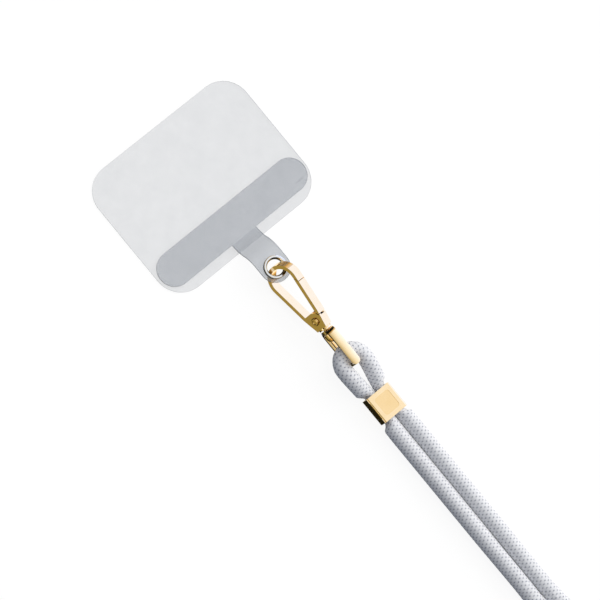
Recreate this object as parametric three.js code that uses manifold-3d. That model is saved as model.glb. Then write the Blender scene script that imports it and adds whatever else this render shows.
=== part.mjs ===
// A phone lanyard: a clear anchor patch, a gold snap hook that swivels, and an endless braided cord.
// Millimetres, +Z up. The origin is the centre of the patch's underside, and X runs along the lanyard
// from the patch to the cord.
import * as THREE from 'three';
import { mergeVertices } from 'three/addons/utils/BufferGeometryUtils.js';
import Module from 'manifold-3d';

// Anchor patch: a film and, bonded on it, a soft strip with a neck and a round tab.
const padLength = 38.1;
const padWidth = 49.0;
const padThickness = 0.3;
const padCorner = 7.5;
const stripWidth = 47.6;
const stripLength = 9.2;
const stripEdgeMargin = 2.7;
const stripThickness = 0.6;
const neckWidth = 7.9;
const neckRun = 8.0;

// Eyelet in the tab.
const eyeRadius = 2.05;
const eyeFlare = 0.4;
const barrelWall = 0.3;
const flangeRadius = 3.0;
const flangeThickness = 0.35;
const washerThickness = 0.3;
const lipThickness = 0.25;
const lipWidth = 0.35;
const eyeletFit = 0.2;

// Snap hook: a flat teardrop, turned about the lanyard's axis.
const hookTurn = 58;
const hookWidth = 2.6;
const archRadius = 4.6;
const armThickness = 1.0;
const armTaper = 9;
const armRun = 10.2;
const blockTaperRun = 4.4;
const blockEndHalf = 1.75;
const hookFloorGap = 0.1;
const seamInset = 0.6;
const seamLength = 2.1;
const seamGap = 0.25;

// The gate's pivot, in the block.
const pivotFromBlockEnd = 2.5;
const cheekRadius = 2.3;
const slotWidth = 1.4;
const slotReach = 1.6;
const knuckleRadius = 1.05;
const sideClearance = 0.15;
const rivetRadius = 0.6;
const rivetHeadRadius = 1.1;
const rivetHeadHeight = 0.4;
const rivetDimple = 0.45;
const springThickness = 0.2;
const springClearance = 0.12;

// Swivel: the hook's neck, the stud and the bail.
const neckRadius = 1.7;
const neckLength = 0.4;
const studRadius = 0.8;
const studHeadRadius = 1.6;
const studHeadLength = 2.2;
const swivelGap = 0.3;
const bailLength = 11.5;
const bailWidth = 2.3;
const bailThickness = 0.9;
const bailCorner = 1.9;
const bailEyeRadius = 1.75;
const barRadius = 0.75;

// Cord and clamp.
const cordDiameter = 4.4;
const cordGap = 0.3;
const cordFloorGap = 0.05;
const legOffset = 2.35;
const clampStart = 67.5;
const clampLength = 7.5;
const clampWidth = 7.3;
const clampHeight = 5.2;
const clampWall = 0.5;
const clampCorner = 0.45;
const clampFit = 0.25;
const pinchHold = 1.2;
const pinchRun = 3.6;
const panelLength = 5.2;
const panelWidth = 4.6;
const panelCorner = 0.8;
const panelDepth = 0.15;
const seamGrooveHeight = 0.35;
const seamGrooveDepth = 0.18;
const seamLipLength = 4.8;
const seamLipReach = 0.25;
const seamLipThickness = 0.4;

// Coil of the length that lies beyond the straight run.
const coilStart = 146;
const coilOuter = 34;
const coilTurns = 5.4;
const coilLayers = 2;
const coilPitch = 4.45;

// Values worked out from those above.
const turn = THREE.MathUtils.degToRad(hookTurn);
const taper = THREE.MathUtils.degToRad(armTaper);
const axisHeight = archRadius * Math.sin(turn) + hookWidth / 2 * Math.cos(turn) + hookFloorGap;
const stripCentre = padLength / 2 - stripEdgeMargin - stripLength / 2;
const neckStart = stripCentre + stripLength / 2;
const tabRadius = neckWidth / 2;
const eyeCentre = neckStart + neckRun + flangeRadius + 0.1;
const hookCrest = eyeCentre - armThickness / 2;
const archCentre = hookCrest + archRadius;
const armEnd = archCentre + archRadius * Math.sin(taper) + armRun;
const blockEnd = armEnd + blockTaperRun;
const pivot = blockEnd - pivotFromBlockEnd;
const studStart = blockEnd + neckLength;
const bailStart = studStart + swivelGap;
const bailEnd = bailStart + bailLength;
const barCentre = bailEnd - barRadius;
const bailHeight = cordDiameter + 2 * cordGap + 2 * bailThickness;
const clampCentre = clampStart + clampLength / 2;
const coilCentre = coilStart + coilOuter;
const coilInner = coilOuter - coilTurns * coilPitch;
const coilHeight = coilLayers * coilPitch;

const wasm = await Module();
wasm.setup();

const clearPlastic = new THREE.MeshStandardMaterial({ color: '#dfe4e8', roughness: 0.2, metalness: 0 });
const softPlastic = new THREE.MeshStandardMaterial({ color: '#c3c9d0', roughness: 0.35, metalness: 0 });
const nickel = new THREE.MeshStandardMaterial({ color: '#d9dade', roughness: 0.25, metalness: 1 });
const gold = new THREE.MeshStandardMaterial({ color: '#dcb765', roughness: 0.18, metalness: 1 });
const springSteel = new THREE.MeshStandardMaterial({ color: '#8d9094', roughness: 0.35, metalness: 1 });
const braid = new THREE.MeshStandardMaterial({ color: '#d5d6db', roughness: 0.85, metalness: 0 });

// A closed geometry as a solid that can be joined and cut.
function solid(geometry) {
  const plain = geometry.index ? geometry.toNonIndexed() : geometry.clone();
  plain.deleteAttribute('normal');
  plain.deleteAttribute('uv');
  const merged = mergeVertices(plain, 1e-5);
  const mesh = new wasm.Mesh({
    numProp: 3,
    vertProperties: new Float32Array(merged.attributes.position.array),
    triVerts: new Uint32Array(merged.index.array),
  });
  return new wasm.Manifold(mesh);
}

// A joined or cut solid as a geometry again.
function geometryOf(body) {
  const mesh = body.getMesh();
  const geometry = new THREE.BufferGeometry();
  geometry.setAttribute('position', new THREE.BufferAttribute(mesh.vertProperties, 3));
  geometry.setIndex(new THREE.BufferAttribute(mesh.triVerts, 1));
  geometry.computeVertexNormals();
  return geometry;
}

function piece(name, geometry, material, parent) {
  const mesh = new THREE.Mesh(geometry, material);
  mesh.name = name;
  parent.add(mesh);
  return mesh;
}

// A plane outline given a thickness, centred on its own plane.
function plate(shape, thickness, curveSegments = 12) {
  const geometry = new THREE.ExtrudeGeometry(shape, { depth: thickness, bevelEnabled: false, curveSegments });
  return geometry.translate(0, 0, -thickness / 2);
}

function roundedRectangle(length, width, corner, centreX = 0, centreY = 0) {
  const left = centreX - length / 2;
  const right = centreX + length / 2;
  const low = centreY - width / 2;
  const high = centreY + width / 2;
  const shape = new THREE.Shape();
  shape.moveTo(left + corner, low);
  shape.lineTo(right - corner, low);
  shape.absarc(right - corner, low + corner, corner, -Math.PI / 2, 0);
  shape.lineTo(right, high - corner);
  shape.absarc(right - corner, high - corner, corner, 0, Math.PI / 2);
  shape.lineTo(left + corner, high);
  shape.absarc(left + corner, high - corner, corner, Math.PI / 2, Math.PI);
  shape.lineTo(left, low + corner);
  shape.absarc(left + corner, low + corner, corner, Math.PI, 1.5 * Math.PI);
  return shape;
}

function circle(radius, centreX = 0, centreY = 0) {
  return new THREE.Shape().absarc(centreX, centreY, radius, 0, 2 * Math.PI);
}

// A band of constant thickness along a line of points in its plane.
function band(points, thickness) {
  const line = points.map((point, i) => {
    const ahead = points[Math.min(i + 1, points.length - 1)];
    const behind = points[Math.max(i - 1, 0)];
    const along = ahead.clone().sub(behind).normalize();
    const across = new THREE.Vector2(-along.y, along.x).multiplyScalar(thickness / 2);
    return [point.clone().add(across), point.clone().sub(across)];
  });
  const upper = line.map((pair) => pair[0]);
  const lower = line.map((pair) => pair[1]).reverse();
  return new THREE.Shape([...upper, ...lower]);
}

function lathe(points, segments) {
  const profile = points.map(([radius, height]) => new THREE.Vector2(radius, height));
  profile.push(profile[0].clone());
  return new THREE.LatheGeometry(profile, segments).rotateX(Math.PI / 2);
}

function buildPatch(parent) {
  const film = plate(roundedRectangle(padLength, padWidth, padCorner), padThickness, 10);
  piece('adhesive_pad', film, clearPlastic, parent).position.z = padThickness / 2;

  const tabHeight = axisHeight;
  const stripHeight = padThickness + stripThickness / 2;
  const strip = plate(
    roundedRectangle(stripLength, stripWidth, stripLength / 2 - 0.01, stripCentre, 0), stripThickness);
  strip.translate(0, 0, stripHeight);

  // The neck climbs from the patch to the tab in two equal bends.
  const rise = tabHeight - stripHeight;
  const bendAngle = 2 * Math.atan2(rise, neckRun);
  const bendRadius = neckRun / (2 * Math.sin(bendAngle));
  const neckLine = [new THREE.Vector2(neckStart - 1, stripHeight)];
  const bendSteps = 8;
  for (let i = 0; i <= bendSteps; i += 1) {
    const angle = bendAngle * i / bendSteps;
    const along = bendRadius * Math.sin(angle);
    neckLine.push(new THREE.Vector2(neckStart + along, stripHeight + bendRadius * (1 - Math.cos(angle))));
  }
  for (let i = bendSteps - 1; i >= 0; i -= 1) {
    const angle = bendAngle * i / bendSteps;
    const back = bendRadius * Math.sin(angle);
    const drop = bendRadius * (1 - Math.cos(angle));
    neckLine.push(new THREE.Vector2(neckStart + neckRun - back, tabHeight - drop));
  }
  neckLine.push(new THREE.Vector2(eyeCentre - flangeRadius + 0.5, tabHeight));
  const neck = plate(band(neckLine, stripThickness), neckWidth).rotateX(Math.PI / 2);

  const tabShape = new THREE.Shape();
  tabShape.moveTo(neckStart + neckRun, -tabRadius);
  tabShape.lineTo(eyeCentre, -tabRadius);
  tabShape.absarc(eyeCentre, 0, tabRadius, -Math.PI / 2, Math.PI / 2);
  tabShape.lineTo(neckStart + neckRun, tabRadius);
  const tab = plate(tabShape, stripThickness).translate(0, 0, tabHeight);
  const barrelRadius = eyeRadius + barrelWall;
  const hole = plate(circle(barrelRadius + eyeletFit, eyeCentre, 0), 3 * stripThickness);
  hole.translate(0, 0, tabHeight);
  const tether = solid(strip).add(solid(neck)).add(solid(tab)).subtract(solid(hole));
  piece('tether_strip', geometryOf(tether), softPlastic, parent);

  buildEyelet(parent, tabHeight, barrelRadius);
}

// The barrel's hole is narrowest in the middle and flares to both faces.
function buildEyelet(parent, height, barrelRadius) {
  const tabHalf = stripThickness / 2;
  const top = tabHalf + flangeThickness;
  const washerBase = -tabHalf - washerThickness;
  const base = washerBase - lipThickness;
  const lipRadius = barrelRadius + lipWidth;
  const bore = [];
  const boreSteps = 6;
  for (let i = 0; i <= boreSteps; i += 1) {
    const share = i / boreSteps;
    const bow = (2 * share - 1) ** 2;
    bore.push([eyeRadius + eyeFlare * bow, base + share * (top - base)]);
  }
  const rim = flangeThickness * 0.45;
  const profile = [
    ...bore,
    [flangeRadius - rim, top],
    [flangeRadius - rim * 0.3, top - rim * 0.3],
    [flangeRadius, top - rim],
    [flangeRadius, tabHalf],
    [barrelRadius, tabHalf],
    [barrelRadius, washerBase],
    [lipRadius, washerBase],
    [lipRadius - 0.08, base],
  ];
  const grommet = lathe(profile.reverse(), 36);
  piece('grommet', grommet, nickel, parent).position.set(eyeCentre, 0, height);

  const washerProfile = [
    [barrelRadius + eyeletFit, -tabHalf],
    [barrelRadius + eyeletFit, washerBase],
    [flangeRadius - 0.1, washerBase],
    [flangeRadius, washerBase + 0.1],
    [flangeRadius, -tabHalf],
  ];
  const washer = lathe(washerProfile, 36);
  piece('grommet_washer', washer, nickel, parent).position.set(eyeCentre, 0, height);
}

// The teardrop's outline, offset inward by a distance, up to the block.
function teardrop(inset, endX, endHalf) {
  const radius = archRadius - inset;
  const shape = new THREE.Shape();
  const slope = Math.tan(taper);
  const tangentX = archCentre + radius * Math.sin(taper);
  const tangentY = radius * Math.cos(taper);
  const cornerY = tangentY - (Math.min(armEnd, endX) - tangentX) * slope;
  shape.moveTo(Math.min(armEnd, endX), cornerY);
  shape.lineTo(tangentX, tangentY);
  shape.absarc(archCentre, 0, radius, Math.PI / 2 - taper, 1.5 * Math.PI + taper);
  shape.lineTo(Math.min(armEnd, endX), -cornerY);
  if (endHalf) {
    shape.lineTo(endX, -endHalf);
    shape.lineTo(endX, endHalf);
  }
  return shape;
}

function polygon(points) {
  return new THREE.Shape(points.map(([x, y]) => new THREE.Vector2(x, y)));
}

// A point at an angle and distance from the gate's pivot.
function fromPivot(radius, degrees) {
  const angle = THREE.MathUtils.degToRad(degrees);
  return [pivot + radius * Math.cos(angle), radius * Math.sin(angle)];
}

// Everything on the gate's side of the seam and of the block, each side moved back by a gap.
function gateZone(gap) {
  const tipX = archCentre + seamInset + gap;
  const outerX = tipX + seamLength;
  const farY = archRadius + 2;
  const innerY = archRadius * Math.cos(taper) - armThickness - 0.1;
  const seamRise = armThickness + 0.1;
  const slant = seamLength / seamRise;
  const zone = polygon([
    [tipX - 0.6 * slant, innerY - 0.6],
    [outerX + (farY - innerY - seamRise) * slant, farY],
    [pivot, farY],
    fromPivot(6, 108 + gap * 12),
    [pivot, 0],
    [tipX, 0],
  ]);
  const depth = 2 * hookWidth;
  const core = plate(circle(cheekRadius + gap, pivot, 0), depth, 24);
  return solid(plate(zone, depth)).subtract(solid(core));
}

function buildHook(parent) {
  const hook = new THREE.Group();
  hook.position.z = axisHeight;
  hook.rotation.x = turn;
  parent.add(hook);

  const blockStart = pivot - cheekRadius;
  const outline = solid(plate(teardrop(0, blockEnd, blockEndHalf), hookWidth, 28));
  const opening = solid(plate(teardrop(armThickness, blockStart), 2 * hookWidth, 24));
  const ring = outline.subtract(opening);

  const rivetHole = plate(circle(rivetRadius + sideClearance, pivot, 0), 2 * hookWidth, 16);
  const slotHalf = knuckleRadius + 2 * sideClearance;
  const slot = solid(plate(polygon([
    [blockStart - 1, -slotReach],
    [pivot + slotReach, -slotReach],
    [pivot + slotReach, slotHalf],
    fromPivot(slotHalf, 90),
    fromPivot(slotHalf / Math.cos(taper), 90 + armTaper),
    fromPivot(archRadius, 104),
    [blockStart - 1, archRadius],
  ]), slotWidth));
  const sink = 0.1;
  const neck = new THREE.CylinderGeometry(neckRadius, neckRadius, neckLength + sink, 32);
  neck.rotateZ(Math.PI / 2).translate(blockEnd + (neckLength - sink) / 2, 0, 0);
  const body = ring
    .subtract(gateZone(0))
    .subtract(slot)
    .add(solid(neck))
    .subtract(solid(rivetHole));
  piece('hook_body', geometryOf(body), gold, hook);

  // The gate's arm keeps the teardrop's line, and its knuckle goes into the block's slot.
  const slope = Math.tan(taper);
  const innerRadius = archRadius - armThickness;
  const innerStart = archCentre + innerRadius * Math.sin(taper);
  const innerAt = (x) => innerRadius * Math.cos(taper) - (x - innerStart) * slope;
  const inside = plate(polygon([
    [archCentre - archRadius, 0],
    [pivot, 0],
    [pivot, innerAt(pivot)],
    [archCentre, innerAt(archCentre)],
    [archCentre - archRadius, innerAt(archCentre)],
  ]), 2 * hookWidth);
  const arm = outline.intersect(gateZone(seamGap)).subtract(solid(inside));
  const knuckleWidth = slotWidth - 2 * sideClearance;
  const knuckle = plate(circle(knuckleRadius, pivot, 0), knuckleWidth, 16);
  const webStart = 116;
  const webEnd = 140;
  const webRoot = 0.7;
  const webSpread = 40;
  const webReach = cheekRadius + seamGap + 0.35;
  const web = plate(polygon([
    fromPivot(webRoot, webStart - webSpread),
    fromPivot(webReach, webStart),
    fromPivot(webReach, webEnd),
    fromPivot(webRoot, webEnd + webSpread),
  ]), knuckleWidth);
  const gate = arm.add(solid(web).intersect(outline)).add(solid(knuckle)).subtract(solid(rivetHole));
  piece('hook_gate', geometryOf(gate), gold, hook);

  buildRivet(hook);
  buildSpring(hook);
  buildStud(parent);
}

// A rivet with a shallow dimple in each domed head.
function buildRivet(hook) {
  const seat = hookWidth / 2 + springClearance;
  const head = seat + rivetHeadHeight;
  const half = [
    [0, head - 0.18],
    [rivetDimple, head - 0.14],
    [rivetDimple + 0.14, head],
    [rivetHeadRadius - 0.2, head - 0.05],
    [rivetHeadRadius, head - 0.25],
    [rivetHeadRadius, seat],
    [rivetRadius, seat],
  ];
  const profile = [...half, ...half.map(([radius, height]) => [radius, -height]).reverse()];
  piece('gate_rivet', lathe(profile.reverse(), 24), gold, hook).position.x = pivot;
}

// A leaf bent round the knuckle: one end sits against the slot's floor, the other behind the gate's web.
function buildSpring(hook) {
  const inner = knuckleRadius + springClearance;
  const middle = inner + springThickness / 2;
  const firstAngle = 176;
  const lastAngle = 350;
  const steps = 14;
  const line = [];
  for (let i = 0; i <= steps; i += 1) {
    const degrees = firstAngle + (lastAngle - firstAngle) * i / steps;
    line.push(new THREE.Vector2(...fromPivot(middle, degrees)));
  }
  const leaf = plate(band(line, springThickness), slotWidth - 3 * sideClearance);
  piece('gate_spring', leaf, springSteel, hook);
}

function buildStud(parent) {
  const headStart = bailStart + bailThickness + swivelGap - studStart;
  const length = headStart + studHeadLength;
  const profile = [
    [0, 0],
    [studRadius, 0],
    [studRadius, headStart],
    [studHeadRadius, headStart],
    [studHeadRadius, headStart + studHeadLength * 0.5],
    [studHeadRadius * 0.8, headStart + studHeadLength * 0.85],
    [studHeadRadius * 0.4, length],
    [0, length],
  ];
  const stud = lathe(profile, 32).rotateY(Math.PI / 2);
  piece('swivel_stud', stud, gold, parent).position.set(studStart, 0, axisHeight);
}

// A strip bent into a standing loop, with a round eye for the stud and a round bar for the cord.
function buildBail(parent) {
  const middle = bailStart + bailLength;
  const outer = roundedRectangle(2 * bailLength, bailHeight, bailCorner, middle, 0);
  const innerHeight = bailHeight - 2 * bailThickness;
  const innerCorner = bailCorner - bailThickness;
  const inner = roundedRectangle(2 * bailLength, innerHeight, innerCorner, middle + bailThickness, 0);
  const frame = solid(plate(outer, bailWidth).rotateX(Math.PI / 2));
  const loop = frame.subtract(solid(plate(inner, 2 * bailWidth).rotateX(Math.PI / 2)));

  // In plan the two strips end in half rounds over the bar.
  const half = bailWidth / 2;
  const plan = new THREE.Shape();
  plan.moveTo(bailStart - 1, -half);
  plan.lineTo(bailEnd - half, -half);
  plan.absarc(bailEnd - half, 0, half, -Math.PI / 2, Math.PI / 2);
  plan.lineTo(bailStart - 1, half);
  const trimmed = loop.intersect(solid(plate(plan, 2 * bailHeight)));

  const bar = new THREE.CylinderGeometry(barRadius, barRadius, bailHeight - bailThickness, 20);
  bar.rotateX(Math.PI / 2).translate(barCentre, 0, 0);
  const eye = new THREE.CylinderGeometry(bailEyeRadius, bailEyeRadius, bailThickness, 32);
  eye.rotateZ(Math.PI / 2).translate(bailStart + bailThickness / 2, 0, 0);
  const eyeHole = new THREE.CylinderGeometry(studRadius + swivelGap, studRadius + swivelGap, 3, 24);
  eyeHole.rotateZ(Math.PI / 2).translate(bailStart + bailThickness / 2, 0, 0);
  const bail = trimmed.add(solid(bar)).add(solid(eye)).subtract(solid(eyeHole));
  piece('bail', geometryOf(bail), gold, parent).position.z = axisHeight;
}

// A sheet sleeve pressed round both cords, with a plain sunk panel on top and its joint along one side.
function buildClamp(parent) {
  const section = roundedRectangle(clampHeight, clampWidth, clampCorner);
  section.holes.push(roundedRectangle(
    clampHeight - 2 * clampWall, clampWidth - 2 * clampWall, clampCorner / 2));
  const sleeve = solid(plate(section, clampLength).rotateY(Math.PI / 2));
  const panel = plate(roundedRectangle(panelLength, panelWidth, panelCorner), 2 * panelDepth);
  panel.translate(0, 0, clampHeight / 2);
  const groove = new THREE.BoxGeometry(seamLipLength, 2 * seamGrooveDepth, seamGrooveHeight);
  groove.translate(0, -clampWidth / 2, clampHeight / 2 - clampWall - seamGrooveHeight / 2);

  // The sheet's end is folded over the side as a lip, and is cut back beside it.
  const beside = (clampLength - seamLipLength) / 2;
  const cutBack = (side) => {
    const notch = new THREE.BoxGeometry(2 * beside, 2 * seamLipReach, 2 * seamLipThickness);
    return notch.translate(side * clampLength / 2, -clampWidth / 2, clampHeight / 2);
  };
  const clamp = sleeve
    .subtract(solid(panel))
    .subtract(solid(groove))
    .subtract(solid(cutBack(1)))
    .subtract(solid(cutBack(-1)));
  piece('cord_clamp', geometryOf(clamp), gold, parent).position.set(clampCentre, 0, clampHeight / 2);
}

// The clamp presses the round cords into two half-rounds: full squeeze inside it, easing off outside.
function pinch(geometry) {
  const position = geometry.attributes.position;
  const widest = legOffset + cordDiameter / 2;
  const squeezeY = (clampWidth / 2 - clampWall - clampFit) / widest;
  const squeezeZ = (clampHeight - 2 * clampWall - 2 * clampFit) / cordDiameter;
  const middle = clampHeight / 2;
  for (let i = 0; i < position.count; i += 1) {
    const outside = Math.max(0, Math.abs(position.getX(i) - clampCentre) - clampLength / 2);
    const hold = 1 - THREE.MathUtils.smoothstep(outside, pinchHold, pinchHold + pinchRun);
    position.setY(i, position.getY(i) * (1 + hold * (squeezeY - 1)));
    position.setZ(i, middle + (position.getZ(i) - middle) * (1 + hold * (squeezeZ - 1)));
  }
  return geometry;
}

function cordTube(points, steps) {
  const places = points.map((point) => new THREE.Vector3(...point));
  const route = new THREE.CatmullRomCurve3(places, false, 'centripetal');
  const section = new THREE.Shape();
  const sides = 10;
  for (let i = 0; i < sides; i += 1) {
    const angle = 2 * Math.PI * i / sides;
    const corner = [cordDiameter / 2 * Math.cos(angle), cordDiameter / 2 * Math.sin(angle)];
    if (i === 0) section.moveTo(...corner);
    else section.lineTo(...corner);
  }
  const options = { steps, extrudePath: route, bevelEnabled: false, curveSegments: 1 };
  return new THREE.ExtrudeGeometry(section, options);
}

function buildCord(parent) {
  const seam = cordGap / 2;
  const inClamp = clampHeight / 2;
  const onBar = axisHeight;
  const onFloor = cordDiameter / 2 + cordFloorGap;
  const clampEnd = clampStart + clampLength;
  const leg = (side) => [
    [clampCentre - seam, side * legOffset, inClamp],
    [69.0, side * legOffset, inClamp],
    [67.0, side * 2.37, 2.65],
    [64.4, side * 2.62, 3.25],
    [61.4, side * 3.05, 4.2],
    [59.4, side * 3.22, 4.6],
    [57.6, side * 3.12, onBar],
    [56.0, side * 2.2, onBar],
  ];
  const fold = [[55.25, 1.1, onBar], [55.0, 0, onBar], [55.25, -1.1, onBar]];
  const bight = [...leg(1), ...fold, ...leg(-1).reverse()];
  piece('cord_bight', pinch(cordTube(bight, 30)), braid, parent);

  const lead = (side) => [
    [clampCentre + seam, side * legOffset, inClamp],
    [clampEnd, side * legOffset, inClamp],
    [clampEnd + 4, side * legOffset, 2.3],
    [clampEnd + 9, side * legOffset, onFloor],
    [clampEnd + 35, side * legOffset, onFloor],
    [coilStart - 12, side * legOffset, onFloor],
    [coilStart - 6, side * 3.0, onFloor],
    [coilStart - 1, side * 4.75, onFloor],
  ];
  piece('cord_lead_a', pinch(cordTube(lead(1), 32)), braid, parent);
  piece('cord_lead_b', pinch(cordTube(lead(-1), 32)), braid, parent);

  const ring = lathe([
    [coilInner, 0],
    [coilOuter, 0],
    [coilOuter, coilHeight],
    [coilInner, coilHeight],
  ], 40);
  piece('cord_coil', ring, braid, parent).position.x = coilCentre;
}

const lanyard = new THREE.Group();
buildPatch(lanyard);
buildHook(lanyard);
buildBail(lanyard);
buildClamp(lanyard);
buildCord(lanyard);

export default lanyard;
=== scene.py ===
# A phone lanyard: a clear stick-in patch, a gold snap hook on a swivel, and an endless braided cord.
import math

import bpy
import numpy as np
from mathutils import Matrix, Vector


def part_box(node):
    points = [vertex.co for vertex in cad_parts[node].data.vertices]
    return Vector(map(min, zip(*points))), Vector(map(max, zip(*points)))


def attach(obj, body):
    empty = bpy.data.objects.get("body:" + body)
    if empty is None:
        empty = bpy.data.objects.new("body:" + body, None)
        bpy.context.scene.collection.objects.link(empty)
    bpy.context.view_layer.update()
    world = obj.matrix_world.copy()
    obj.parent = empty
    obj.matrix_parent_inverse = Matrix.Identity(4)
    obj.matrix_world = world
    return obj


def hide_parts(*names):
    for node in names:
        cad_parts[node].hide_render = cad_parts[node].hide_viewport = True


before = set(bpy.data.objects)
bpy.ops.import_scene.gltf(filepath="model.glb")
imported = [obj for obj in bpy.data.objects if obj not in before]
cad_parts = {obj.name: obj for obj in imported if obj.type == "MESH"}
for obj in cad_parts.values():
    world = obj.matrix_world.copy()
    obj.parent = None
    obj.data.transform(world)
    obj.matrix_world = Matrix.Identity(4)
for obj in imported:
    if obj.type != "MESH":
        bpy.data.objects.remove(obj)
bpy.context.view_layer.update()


# The table and its light
# A white photo table with a large soft light low on one side and little light from the other, so
# that the plated parts show one pale side and one deep one. The camera looks down at 75 degrees.
MM = 0.001
view_height = math.radians(75)
lanyard_turn = math.radians(50.56)
frame_width = 150 * MM
lens_mm = 200
sensor_mm = 36
picture_centre = Vector((37.7 * MM, -0.45 * MM, 4.7 * MM))

towards_camera = Vector((0, -math.cos(view_height), math.sin(view_height)))
across = Vector((0, math.sin(view_height), math.cos(view_height)))
along = Vector((1, 0, 0))
camera_right = along * math.cos(lanyard_turn) + across * math.sin(lanyard_turn)
camera_up = across * math.cos(lanyard_turn) - along * math.sin(lanyard_turn)

camera_data = bpy.data.cameras.new("camera")
camera_data.lens = lens_mm
camera_data.sensor_width = sensor_mm
camera = bpy.data.objects.new("camera", camera_data)
bpy.context.collection.objects.link(camera)
turned = Matrix((camera_right, camera_up, towards_camera)).transposed().to_4x4()
distance = frame_width * lens_mm / sensor_mm
camera.matrix_world = Matrix.Translation(picture_centre + towards_camera * distance) @ turned
bpy.context.scene.camera = camera
bpy.context.scene.view_settings.view_transform = "Standard"


def linear(colour):
    """An sRGB hex colour as the linear red, green, blue and alpha that a shader takes."""
    parts = [int(colour[i:i + 2], 16) / 255 for i in (1, 3, 5)]
    return [p / 12.92 if p <= 0.04045 else ((p + 0.055) / 1.055) ** 2.4 for p in parts] + [1]


def add_node(tree, kind, values=(), links=(), **settings):
    """A node with its settings, its inputs' values and the outputs that feed its inputs."""
    made = tree.nodes.new(kind)
    for name, value in settings.items():
        setattr(made, name, value)
    for socket, value in dict(values).items():
        made.inputs[socket].default_value = value
    for socket, source in dict(links).items():
        tree.links.new(source, made.inputs[socket])
    return made


def new_material(name):
    """An empty material with its shader joined to its output: (material, its tree, its shader)."""
    made = bpy.data.materials.new(name)
    made.use_nodes = True
    tree = made.node_tree
    tree.nodes.clear()
    shader = add_node(tree, "ShaderNodeBsdfPrincipled")
    add_node(tree, "ShaderNodeOutputMaterial", links={"Surface": shader.outputs["BSDF"]})
    return made, tree, shader


def new_piece(name, vertices, faces, material):
    """A smooth-shaded mesh object in the row frame, in metres."""
    data = bpy.data.meshes.new(name)
    data.from_pydata([tuple(v) for v in vertices], [], faces)
    data.materials.append(material)
    data.shade_smooth()
    made = bpy.data.objects.new(name, data)
    bpy.context.collection.objects.link(made)
    return made


# White laminate, matt: it glows a little, so that the object's shadow on it stays pale.
laminate, _, laminate_shader = new_material("white laminate")
laminate_shader.inputs["Base Color"].default_value = linear("#5E5E5E")
laminate_shader.inputs["Roughness"].default_value = 0.7
laminate_shader.inputs["Emission Color"].default_value = linear("#FFFFFF")
laminate_shader.inputs["Emission Strength"].default_value = 0.9
table_half = 3.0
table_corners = [(-table_half, -table_half, 0), (table_half, -table_half, 0),
                 (table_half, table_half, 0), (-table_half, table_half, 0)]
table = new_piece("table_top", table_corners, [(0, 1, 2, 3)], laminate)
table_gap = 0.1 * MM
table.location = (100 * MM, 0, -table_gap)
table.visible_diffuse = False
table.visible_glossy = False

# The studio round the table. Matt surfaces are lit from a bright side and a dim, cool one. Plated
# ones mirror a tent, laid round X: cool white level with the table on the bright side, grey
# overhead, a black band and a pale one on the near side, olive under them, black below, and a pale
# band under the bright side. Towards both ends of X it passes through gold bands into black.
studio = bpy.data.worlds.new("studio")
studio.use_nodes = True
walls = studio.node_tree
walls.nodes.clear()
direction = add_node(walls, "ShaderNodeTexCoord")
split = add_node(walls, "ShaderNodeSeparateXYZ", links={0: direction.outputs["Generated"]})


def colour_ramp(tree, share, stops):
    """A ramp from (place, hex colour) pairs, the first at 0 and the last at 1."""
    made = add_node(tree, "ShaderNodeValToRGB", links={0: share})
    ends = made.color_ramp.elements
    for end, (place, shade) in zip(ends, (stops[0], stops[-1])):
        end.position, end.color = place, linear(shade)
    for place, shade in stops[1:-1]:
        ends.new(place).color = linear(shade)
    return made.outputs["Color"]


def maths(tree, operation, first, second=None, third=None):
    """The output of a maths node, whose inputs are numbers or other nodes' outputs."""
    values, links = {}, {}
    for socket, given in enumerate((first, second, third)):
        if isinstance(given, (int, float)):
            values[socket] = given
        elif given is not None:
            links[socket] = given
    return add_node(tree, "ShaderNodeMath", values, links, operation=operation).outputs[0]


matt_side = maths(walls, "MULTIPLY_ADD", split.outputs["Y"], 0.5, 0.5)
matt_light = colour_ramp(walls, matt_side, [
    (0, "#7F848E"), (0.3, "#8B9099"), (0.5, "#AEB2B9"), (0.7, "#F2F2F2"), (1, "#FFFFFF")])
round_x = maths(walls, "ARCTAN2", split.outputs["Z"], split.outputs["Y"])
tent_turn = maths(walls, "MULTIPLY_ADD", round_x, 1 / (2 * math.pi), 0.5)
tent = colour_ramp(walls, tent_turn, [
    (0, "#847A4A"), (0.06, "#746A3E"), (0.12, "#2A2717"), (0.21, "#151309"), (0.26, "#2A2717"),
    (0.28, "#9A9280"), (0.32, "#E8E2D4"), (0.36, "#D8D0BC"), (0.40, "#8C8778"), (0.46, "#C9C6C0"),
    (0.50, "#CCD8FF"), (0.56, "#CCD8FF"), (0.62, "#D2D6E4"), (0.70, "#C9C6C0"), (0.76, "#B5AF9C"),
    (0.82, "#8E7F56"), (0.85, "#3A321C"), (0.865, "#0E0C06"), (0.90, "#0E0C06"), (0.915, "#8E7F56"),
    (0.94, "#F4EBD4"), (0.97, "#E0D2A8"), (0.985, "#8E8454"), (1, "#847A4A")])
endwise = maths(walls, "ABSOLUTE", split.outputs["X"])
ends_seen = colour_ramp(walls, endwise, [
    (0, "#FFFFFF"), (0.50, "#FFFFFF"), (0.54, "#B98F4E"), (0.58, "#F2E0B8"), (0.64, "#C9A468"),
    (0.70, "#D9BC84"), (0.76, "#5A4824"), (0.80, "#100D06"), (0.92, "#0C0A05"), (1, "#2A2516")])
mirrored = add_node(walls, "ShaderNodeMix", data_type="RGBA", blend_type="MULTIPLY", values={0: 1.0},
                    links={6: tent, 7: ends_seen}).outputs[2]
seen = add_node(walls, "ShaderNodeLightPath")


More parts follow.
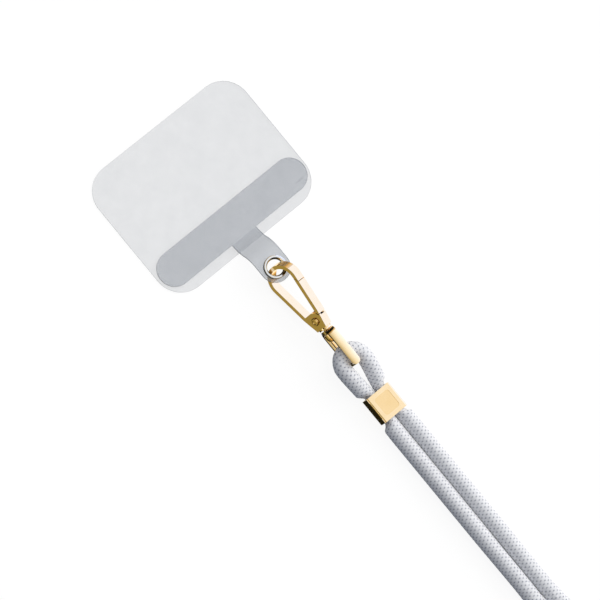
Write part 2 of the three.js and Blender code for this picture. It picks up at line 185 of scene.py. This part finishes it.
def lit(colour, strength):
    """The studio's light in one hex colour, or in the colours of a ramp."""
    made = add_node(walls, "ShaderNodeBackground", values={"Strength": strength})
    if isinstance(colour, str):
        made.inputs["Color"].default_value = linear(colour)
    else:
        walls.links.new(colour, made.inputs["Color"])
    return made.outputs[0]


for_matt = lit(matt_light, 0.95)
for_plated = lit(mirrored, 1.9)
for_camera = lit("#F2F2F2", 1.0)
matt_or_plated = add_node(walls, "ShaderNodeMixShader", links={
    0: seen.outputs["Is Glossy Ray"], 1: for_matt, 2: for_plated})
everything = add_node(walls, "ShaderNodeMixShader", links={
    0: seen.outputs["Is Camera Ray"], 1: matt_or_plated.outputs[0], 2: for_camera})
add_node(walls, "ShaderNodeOutputWorld", links={"Surface": everything.outputs[0]})
bpy.context.scene.world = studio


def soft_light(name, place, target, size, watts):
    """A soft box aimed at a point; plated faces don't mirror it."""
    data = bpy.data.lights.new(name, "AREA")
    data.shape = "RECTANGLE"
    data.size, data.size_y = size
    data.energy = watts
    made = bpy.data.objects.new(name, data)
    made.location = place
    made.visible_glossy = False
    aim = Vector(target) - Vector(place)
    made.rotation_euler = aim.to_track_quat("-Z", "Y").to_euler()
    bpy.context.collection.objects.link(made)


soft_light("key", (0.2, 0.9, 0.6), (0.05, 0, 0), (0.9, 0.6), 5)
soft_light("top", (0.0, 0.3, 1.2), (0.05, 0, 0), (0.9, 0.6), 2)


# The patch
# A stick-in patch of clear polyester film with rounded corners, die-cut, with an adhesive face.
# It lies inside the phone's case. The film is almost clear, and its cut edge is a thin grey line.
def dress(name, material, edge_mm, segments=2):
    """A CAD node with its material, smooth curves and its sharp edges rounded off."""
    sharp = math.radians(35)
    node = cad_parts[name]
    node.data.materials.clear()
    node.data.materials.append(material)
    node.data.shade_smooth()
    node.data.set_sharp_from_angle(angle=sharp)
    rounding = node.modifiers.new("rounded edges", "BEVEL")
    rounding.width = edge_mm * MM
    rounding.segments = segments
    rounding.limit_method = "ANGLE"
    rounding.angle_limit = sharp
    rounding.use_clamp_overlap = False
    rounding.harden_normals = True
    return node


def cut_edge(node, material):
    """The upright faces of a flat sheet take the look of its cut edge."""
    most_tilt = 0.3
    node.data.materials.append(material)
    for face in node.data.polygons:
        if abs(face.normal.z) < most_tilt:
            face.material_index = 1


def grain_map(tree, size_mm, detail=2.0, stretch=(1, 1, 1)):
    """Noise whose grains are about that many millimetres apart."""
    place = add_node(tree, "ShaderNodeTexCoord")
    shaped = add_node(tree, "ShaderNodeMapping", values={"Scale": stretch},
                      links={"Vector": place.outputs["Object"]})
    return add_node(tree, "ShaderNodeTexNoise", links={"Vector": shaped.outputs[0]}, values={
        "Scale": 1 / (size_mm * MM), "Detail": detail, "Roughness": 0.6}).outputs["Fac"]


def waviness(tree, shader, height, distance_mm):
    """The shader's surface rises and falls by that much with the height."""
    bump = add_node(tree, "ShaderNodeBump", links={"Height": height},
                    values={"Distance": distance_mm * MM, "Strength": 1.0})
    tree.links.new(bump.outputs["Normal"], shader.inputs["Normal"])


def between(tree, share, low, high):
    """A share of 0 to 1 as a value from low to high."""
    return add_node(tree, "ShaderNodeMapRange", links={0: share},
                    values={"To Min": low, "To Max": high}).outputs[0]


# Clear PET film: glossy, with a very faint grey haze from the adhesive behind it.
film, film_tree, film_shader = new_material("clear polyester film")
film_shader.inputs["Base Color"].default_value = linear("#9CA3AD")
film_shader.inputs["IOR"].default_value = 1.57
haze = grain_map(film_tree, 6.0)
film_tree.links.new(between(film_tree, haze, 0.13, 0.19), film_shader.inputs["Alpha"])
film_tree.links.new(between(film_tree, haze, 0.05, 0.12), film_shader.inputs["Roughness"])
waviness(film_tree, film_shader, grain_map(film_tree, 12.0, 0.0), 0.02)

# The edge that the die leaves on the film: satin and less clear, so that the outline shows as a
# thin grey line of painted shade.
film_cut, film_cut_tree, film_cut_shader = new_material("die-cut film edge with painted shade")
film_cut_shader.inputs["Base Color"].default_value = linear("#A9B0BA")
film_cut_shader.inputs["Roughness"].default_value = 0.3
film_cut_shader.inputs["IOR"].default_value = 1.57
film_cut_tree.links.new(between(film_cut_tree, grain_map(film_cut_tree, 0.4), 0.55, 0.8),
                        film_cut_shader.inputs["Alpha"])
patch = dress("adhesive_pad", film, 0.06, 1)
cut_edge(patch, film_cut)


# The strip and its tab
# Soft clear thermoplastic polyurethane, one die-cut piece bonded on the patch: a cross strip with
# round ends, a neck that climbs through the case's port, and a round tab for the eyelet.
# Slightly milky and blue-grey, with a satin face that waves a little.
rubber, rubber_tree, rubber_shader = new_material("clear soft polyurethane")
rubber_shader.inputs["Base Color"].default_value = linear("#A6AEB8")
rubber_shader.inputs["IOR"].default_value = 1.5
milk = grain_map(rubber_tree, 3.0)
rubber_tree.links.new(between(rubber_tree, milk, 0.36, 0.39), rubber_shader.inputs["Alpha"])
rubber_tree.links.new(between(rubber_tree, milk, 0.18, 0.3), rubber_shader.inputs["Roughness"])
waviness(rubber_tree, rubber_shader, grain_map(rubber_tree, 2.5, 1.0), 0.008)

# The edge that the die leaves on the polyurethane: denser than its face, and painted darker as
# shade along the cut edge.
rubber_cut, rubber_cut_tree, rubber_cut_shader = new_material("die-cut polyurethane edge with painted shade")
rubber_cut_shader.inputs["Base Color"].default_value = linear("#7E8794")
rubber_cut_shader.inputs["IOR"].default_value = 1.5
rubber_cut_shader.inputs["Roughness"].default_value = 0.3
rubber_cut_tree.links.new(between(rubber_cut_tree, grain_map(rubber_cut_tree, 0.5), 0.6, 0.8),
                          rubber_cut_shader.inputs["Alpha"])
strip = dress("tether_strip", rubber, 0.08, 2)
cut_edge(strip, rubber_cut)


# The eyelet
# A spun eyelet and its washer in polished nickel-plated brass, clinched together over the tab.
# The plate is a cool, bright mirror, dulled here and there by fine marks.
nickel, nickel_tree, nickel_shader = new_material("polished nickel plate")
nickel_shader.inputs["Base Color"].default_value = linear("#DDE2EC")
nickel_shader.inputs["Metallic"].default_value = 1.0
nickel_tree.links.new(between(nickel_tree, grain_map(nickel_tree, 0.15), 0.08, 0.18),
                      nickel_shader.inputs["Roughness"])
waviness(nickel_tree, nickel_shader, grain_map(nickel_tree, 0.5), 0.004)
dress("grommet", nickel, 0.12, 3)
dress("grommet_washer", nickel, 0.05, 2)


# The snap hook and its swivel
# A die-cast zinc hook, gate, stud and bail, polished and plated pale gold. The rivet that the gate
# turns on is brass with the same plate, and the leaf behind the gate is bare spring steel.
# Polished plate: mirror-like, with a faint ripple left by polishing and fine handling marks.
def gold_plate(name, deep="#EED2A0", pale="#F5DDB4", crown=None):
    """Pale gold plate; crown is the half width and rise in mm of a strip that is slightly domed."""
    made, tree, shader = new_material(name)
    shader.inputs["Metallic"].default_value = 1.0
    tint = colour_ramp(tree, grain_map(tree, 2.5), [(0, deep), (1, pale)])
    tree.links.new(tint, shader.inputs["Base Color"])
    marks = grain_map(tree, 0.12, 4.0, (0.15, 1, 1))
    tree.links.new(between(tree, marks, 0.05, 0.13), shader.inputs["Roughness"])
    waviness(tree, shader, grain_map(tree, 1.6, 1.0), 0.006)
    if crown:
        half_width, rise = crown
        place = add_node(tree, "ShaderNodeSeparateXYZ", links={
            0: add_node(tree, "ShaderNodeTexCoord").outputs["Object"]})
        sideways = maths(tree, "MULTIPLY", place.outputs["Y"], 1 / (half_width * MM))
        dome = maths(tree, "SUBTRACT", 1, maths(tree, "MULTIPLY", sideways, sideways))
        rippled = shader.inputs["Normal"].links[0].from_socket
        domed = add_node(tree, "ShaderNodeBump", values={"Distance": rise * MM, "Strength": 1.0},
                         links={"Height": dome, "Normal": rippled})
        tree.links.new(domed.outputs["Normal"], shader.inputs["Normal"])
    return made


gold = gold_plate("polished pale gold plate")
for name, edge in (("hook_body", 0.12), ("hook_gate", 0.1), ("gate_rivet", 0.05),
                   ("swivel_stud", 0.06)):
    dress(name, gold, edge)

# The bail's plate: painted paler than the hook's, a painted highlight on the same plate, and its
# mirror bends across the strip as on a low dome.
bail_crown = (1.15, 0.2)
painted_pale_domed_gold = gold_plate("polished gold plate on a domed strip", "#F4DEB6", "#FBECD2", bail_crown)
dress("bail", painted_pale_domed_gold, 0.2, 4)

# Bare spring steel: grey and satin, with fine rolling marks.
steel, steel_tree, steel_shader = new_material("bare spring steel")
steel_shader.inputs["Base Color"].default_value = linear("#A8A9AB")
steel_shader.inputs["Metallic"].default_value = 1.0
steel_tree.links.new(between(steel_tree, grain_map(steel_tree, 0.08, 3.0, (0.1, 1, 1)), 0.25, 0.45),
                     steel_shader.inputs["Roughness"])
dress("gate_spring", steel, 0.02, 1)


# The clamp
# A sleeve of plated brass sheet, pressed round both cords, with a plain sunk panel on top and its
# joint along one side.
# The clamp's plate is painted paler than the hook's outside, a painted highlight on the same gold,
# and the sunk panel keeps the hook's deeper gold as painted shade in the recess.
painted_pale_gold = gold_plate("gold plate on pressed sheet, painted pale as highlight", "#F2DAB0", "#F9E8CC")
clamp = dress("cord_clamp", painted_pale_gold, 0.1, 3)
# The sunk panel's floor takes the hook's deeper gold: painted shade in the recess.
clamp.data.materials.append(gold)
clamp_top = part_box("cord_clamp")[1][2]
least_sunk, most_sunk = 0.05 * MM, 0.3 * MM
facing_up = 0.9
for face in clamp.data.polygons:
    if face.normal.z > facing_up and least_sunk < clamp_top - face.center.z < most_sunk:
        face.material_index = 1


# The cord
# One endless braided polyester cord, 4.4 mm thick and about 1.4 m round, doubled over the bail's
# bar and held by the clamp. The length beyond the straight run lies wound in a flat coil.
# Everything about its shape is in mm, and both ends of the route meet inside the clamp.
cord_radius = 2.2
cord_sides = 48
clamp_low, clamp_high = (np.array(corner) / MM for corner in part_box("cord_clamp"))
clamp_middle = (clamp_low + clamp_high) / 2
in_clamp = clamp_middle[2]
on_bar = 4.69
on_floor = 2.25
leg_offset = 2.35
clamp_wall = 0.55
pinch_hold = 0.1
pinch_run = 2.0
fine_until = 138
fine_step, coil_step = 0.2, 1.4


def leg(side):
    """From inside the clamp up to the bail's bar, on one side."""
    return [
        (71.1, side * leg_offset, in_clamp),
        (69.0, side * leg_offset, in_clamp),
        (67.0, side * 2.37, 2.65),
        (64.4, side * 2.62, 3.25),
        (61.4, side * 3.05, 4.2),
        (59.4, side * 3.22, 4.6),
        (57.6, side * 3.12, on_bar),
        (56.0, side * 2.2, on_bar),
    ]


def lead(side):
    """From inside the clamp down to the table and on to the coil, on one side."""
    return [
        (71.4, side * leg_offset, in_clamp),
        (75.0, side * leg_offset, in_clamp),
        (79.0, side * leg_offset, 2.3),
        (84.0, side * leg_offset, on_floor),
        (110.0, side * leg_offset, on_floor),
        (134.0, side * leg_offset, on_floor),
        (140.0, side * 3.0, on_floor),
        (145.0, side * 4.75, on_floor),
    ]


# The coil: turns inward on the table, a climb at its inside, and the rest outward on top.
coil_centre = 180.0
coil_outside, coil_inside = 31.775, 12.2
layer_rise = 4.43
coil_from = 210
lower_sweep = 4.4 * 360
climb_sweep = 90
whole_sweep = 9 * 360 - 60
upper_sweep = whole_sweep - lower_sweep - climb_sweep
climb_inset = 0.25
end_drop, end_sweep = 1.6, 25
points_per_turn = 24


def smooth(share):
    """A share that starts and ends gently, held between 0 and 1."""
    share = min(max(share, 0), 1)
    return share * share * (3 - 2 * share)


def coil_point(sweep):
    """A point of the coil, that many degrees from its start at the first lead."""
    climbed = sweep - lower_sweep
    if climbed < 0:
        radius = coil_outside + (coil_inside - coil_outside) * sweep / lower_sweep
    elif climbed < climb_sweep:
        radius = coil_inside - climb_inset * math.sin(math.pi * climbed / climb_sweep)
    else:
        outward = (climbed - climb_sweep) / upper_sweep
        radius = coil_inside + (coil_outside - coil_inside) * outward
    height = on_floor + layer_rise * smooth(climbed / climb_sweep)
    height -= end_drop * smooth(1 - (whole_sweep - sweep) / end_sweep)
    angle = math.radians(coil_from + sweep)
    return (coil_centre + radius * math.cos(angle), radius * math.sin(angle), height)


coil_steps = round(whole_sweep / 360 * points_per_turn)
coil = [coil_point(whole_sweep * i / coil_steps) for i in range(coil_steps + 1)]
fold = [(55.25, 1.1, on_bar), (55.0, 0, on_bar), (55.25, -1.1, on_bar)]
cord_route = [*leg(1), *fold, *reversed(leg(-1)), *lead(-1), *coil, *reversed(lead(1))]


def along_route(points, spacing):
    """Points a little apart on a centripetal Catmull-Rom curve; spacing(x) is the step at x."""
    points = np.array(points, float)
    points = np.vstack([2 * points[0] - points[1], points, 2 * points[-1] - points[-2]])
    line = []
    for i in range(1, len(points) - 2):
        before, start, end, after = points[i - 1:i + 3]
        step_in, step, step_out = (np.linalg.norm(b - a) ** 0.5 for a, b in (
            (before, start), (start, end), (end, after)))
        leave = step * ((start - before) / step_in - (end - before) / (step_in + step)
                        + (end - start) / step)
        arrive = step * ((end - start) / step - (after - start) / (step + step_out)
                         + (after - end) / step_out)
        pieces = max(2, math.ceil(np.linalg.norm(end - start) / spacing(start[0])))
        for t in np.arange(pieces) / pieces:
            line.append(start + leave * t + (3 * (end - start) - 2 * leave - arrive) * t ** 2
                        + (2 * (start - end) + leave + arrive) * t ** 3)
    return np.array([*line, points[-2]])


def pinch(points):
    """The clamp's mouth presses both cords flatter and closer, easing off outside it."""
    half_length = (clamp_high[0] - clamp_low[0]) / 2
    outside = np.maximum(0, np.abs(points[:, 0] - clamp_middle[0]) - half_length)
    share = np.clip((outside - pinch_hold) / pinch_run, 0, 1)
    hold = 1 - share * share * (3 - 2 * share)
    room = (clamp_high - clamp_low) / 2 - clamp_wall
    widest = leg_offset + cord_radius
    pressed = points.copy()
    pressed[:, 1] *= 1 + hold * (room[1] / widest - 1)
    pressed[:, 2] = in_clamp + (points[:, 2] - in_clamp) * (1 + hold * (room[2] / cord_radius - 1))
    return pressed


def cord_mesh(line, radius, sides):
    """Rings square to the line, turned as little as possible from one to the next."""
    ahead = np.gradient(line, axis=0)
    ahead /= np.linalg.norm(ahead, axis=1)[:, None]
    side = np.cross(ahead[0], (0, 0, 1))
    angles = np.arange(sides) * 2 * math.pi / sides
    rings = []
    for centre, forward in zip(line, ahead):
        side = side - forward * side.dot(forward)
        side /= np.linalg.norm(side)
        up = np.cross(side, forward)
        rings.append(centre + radius * (np.outer(np.cos(angles), side)
                                        + np.outer(np.sin(angles), up)))
    return np.array(rings)


def braid_relief(travelled, sides):
    """How far each point of the rings stands out, in mm: a low pillow at every yarn's crossing."""
    run = travelled[:, None] / cell_length_mm
    turn = yarns_each_way * np.arange(sides)[None, :] / sides
    crowns = [np.sin(math.pi * ((run + hand * turn) % 1)) for hand in (1, -1)]
    return relief_mm * (np.sqrt(crowns[0] * crowns[1]) - 0.5)


# Braided polyester: white yarns in two hands, a soft pillow where two cross and a gap where four
# meet, painted blue-grey as shade, with fine filaments and a little silky sheen. The pillows are in
# the mesh on the straight stretch, and in the bump all along.
braid, braid_tree, braid_shader = new_material("braided white polyester")
yarns_each_way = 8
cell_length_mm = 1.13
relief_mm = 0.12
gap_power = 1.2
filament_scale = (2.2, 60.0, 1.0)
filament_share, cell_share, closed_share, grain_and_gap_shade_start = 0.35, 0.10, 0.75, -0.15
filament_rise = 0.3
lay_map = add_node(braid_tree, "ShaderNodeUVMap", uv_map="braid")
lay_split = add_node(braid_tree, "ShaderNodeSeparateXYZ", links={0: lay_map.outputs["UV"]})
run = maths(braid_tree, "MULTIPLY", lay_split.outputs["X"], 1 / cell_length_mm)
turn = maths(braid_tree, "MULTIPLY", lay_split.outputs["Y"], yarns_each_way)
hands = [maths(braid_tree, "ADD", run, turn), maths(braid_tree, "SUBTRACT", run, turn)]
crowns = []
for hand in hands:
    within = maths(braid_tree, "FRACT", hand)
    crowns.append(maths(braid_tree, "SINE", maths(braid_tree, "MULTIPLY", within, math.pi)))
cells = [maths(braid_tree, "FLOOR", hand) for hand in hands]
cell_place = add_node(braid_tree, "ShaderNodeCombineXYZ", links={0: cells[0], 1: cells[1]})
cell_noise = add_node(braid_tree, "ShaderNodeTexWhiteNoise", noise_dimensions="2D",
                      links={"Vector": cell_place.outputs[0]})
pillow = maths(braid_tree, "POWER", maths(braid_tree, "MULTIPLY", crowns[0], crowns[1]), 0.5)
# gap is high where four yarns meet; it makes those spots dark as painted shade.
gap = maths(braid_tree, "MULTIPLY", maths(braid_tree, "SUBTRACT", 1, crowns[0]),
            maths(braid_tree, "SUBTRACT", 1, crowns[1]))
closed = maths(braid_tree, "SUBTRACT", 1, maths(braid_tree, "POWER", gap, gap_power))
filament_map = add_node(braid_tree, "ShaderNodeMapping", values={"Scale": filament_scale},
                        links={"Vector": lay_map.outputs["UV"]})
filaments = add_node(braid_tree, "ShaderNodeTexNoise", links={"Vector": filament_map.outputs[0]},
                     values={"Scale": 1.0, "Detail": 3.0, "Roughness": 0.6}).outputs["Fac"]
grain_and_gap_shade = maths(braid_tree, "MULTIPLY_ADD", filaments, filament_share, maths(
    braid_tree, "MULTIPLY_ADD", cell_noise.outputs["Value"], cell_share, maths(
        braid_tree, "MULTIPLY_ADD", closed, closed_share, grain_and_gap_shade_start)))
# The ramp's dark blue-grey end is painted shade in the gaps; the rest is the yarns' own random tone.
yarn_tone_and_gap_shade = colour_ramp(braid_tree, grain_and_gap_shade, [
    (0, "#4E545F"), (0.30, "#7E838F"), (0.58, "#D2D3D8"), (0.8, "#ECECEE"), (1, "#F4F4F5")])
standing_out = maths(braid_tree, "MULTIPLY_ADD", filaments, filament_rise, pillow)
relief = add_node(braid_tree, "ShaderNodeBump", links={"Height": standing_out},
                  values={"Strength": 0.7, "Distance": relief_mm * MM})
braid_tree.links.new(yarn_tone_and_gap_shade, braid_shader.inputs["Base Color"])
braid_tree.links.new(relief.outputs["Normal"], braid_shader.inputs["Normal"])
braid_shader.inputs["Roughness"].default_value = 0.75
braid_shader.inputs["Sheen Weight"].default_value = 0.15
braid_shader.inputs["Sheen Roughness"].default_value = 0.4

cord_line = along_route(cord_route, lambda x: fine_step if x < fine_until else coil_step)
cord_rings = cord_mesh(cord_line, cord_radius, cord_sides)
travelled = np.concatenate([[0], np.cumsum(np.linalg.norm(np.diff(cord_line, axis=0), axis=1))])
outward = (cord_rings - cord_line[:, None]) / cord_radius
fine = (cord_line[:, 0] < fine_until)[:, None, None]
cord_rings += outward * fine * braid_relief(travelled, cord_sides)[:, :, None]
cord_points = pinch(cord_rings.reshape(-1, 3)) * MM
ring_count = len(cord_rings)
cord_faces = []
for i in range(ring_count - 1):
    for j in range(cord_sides):
        k = (j + 1) % cord_sides
        here, onward = i * cord_sides, (i + 1) * cord_sides
        cord_faces.append((here + j, here + k, onward + k, onward + j))
cord_faces.append(tuple(range(cord_sides))[::-1])
cord_faces.append(tuple(range(len(cord_points) - cord_sides, len(cord_points))))
cord = new_piece("braided_cord", cord_points, cord_faces, braid)

cord_uv = cord.data.uv_layers.new(name="braid")
for face in cord.data.polygons[:-2]:
    i, j = divmod(face.index, cord_sides)
    for loop, (ring, turned_by) in zip(face.loop_indices, ((i, j), (i, j + 1),
                                                           (i + 1, j + 1), (i + 1, j))):
        cord_uv.data[loop].uv = (travelled[ring], turned_by / cord_sides)

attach(cord, "cord_end")
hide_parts("cord_bight", "cord_lead_a", "cord_lead_b", "cord_coil")
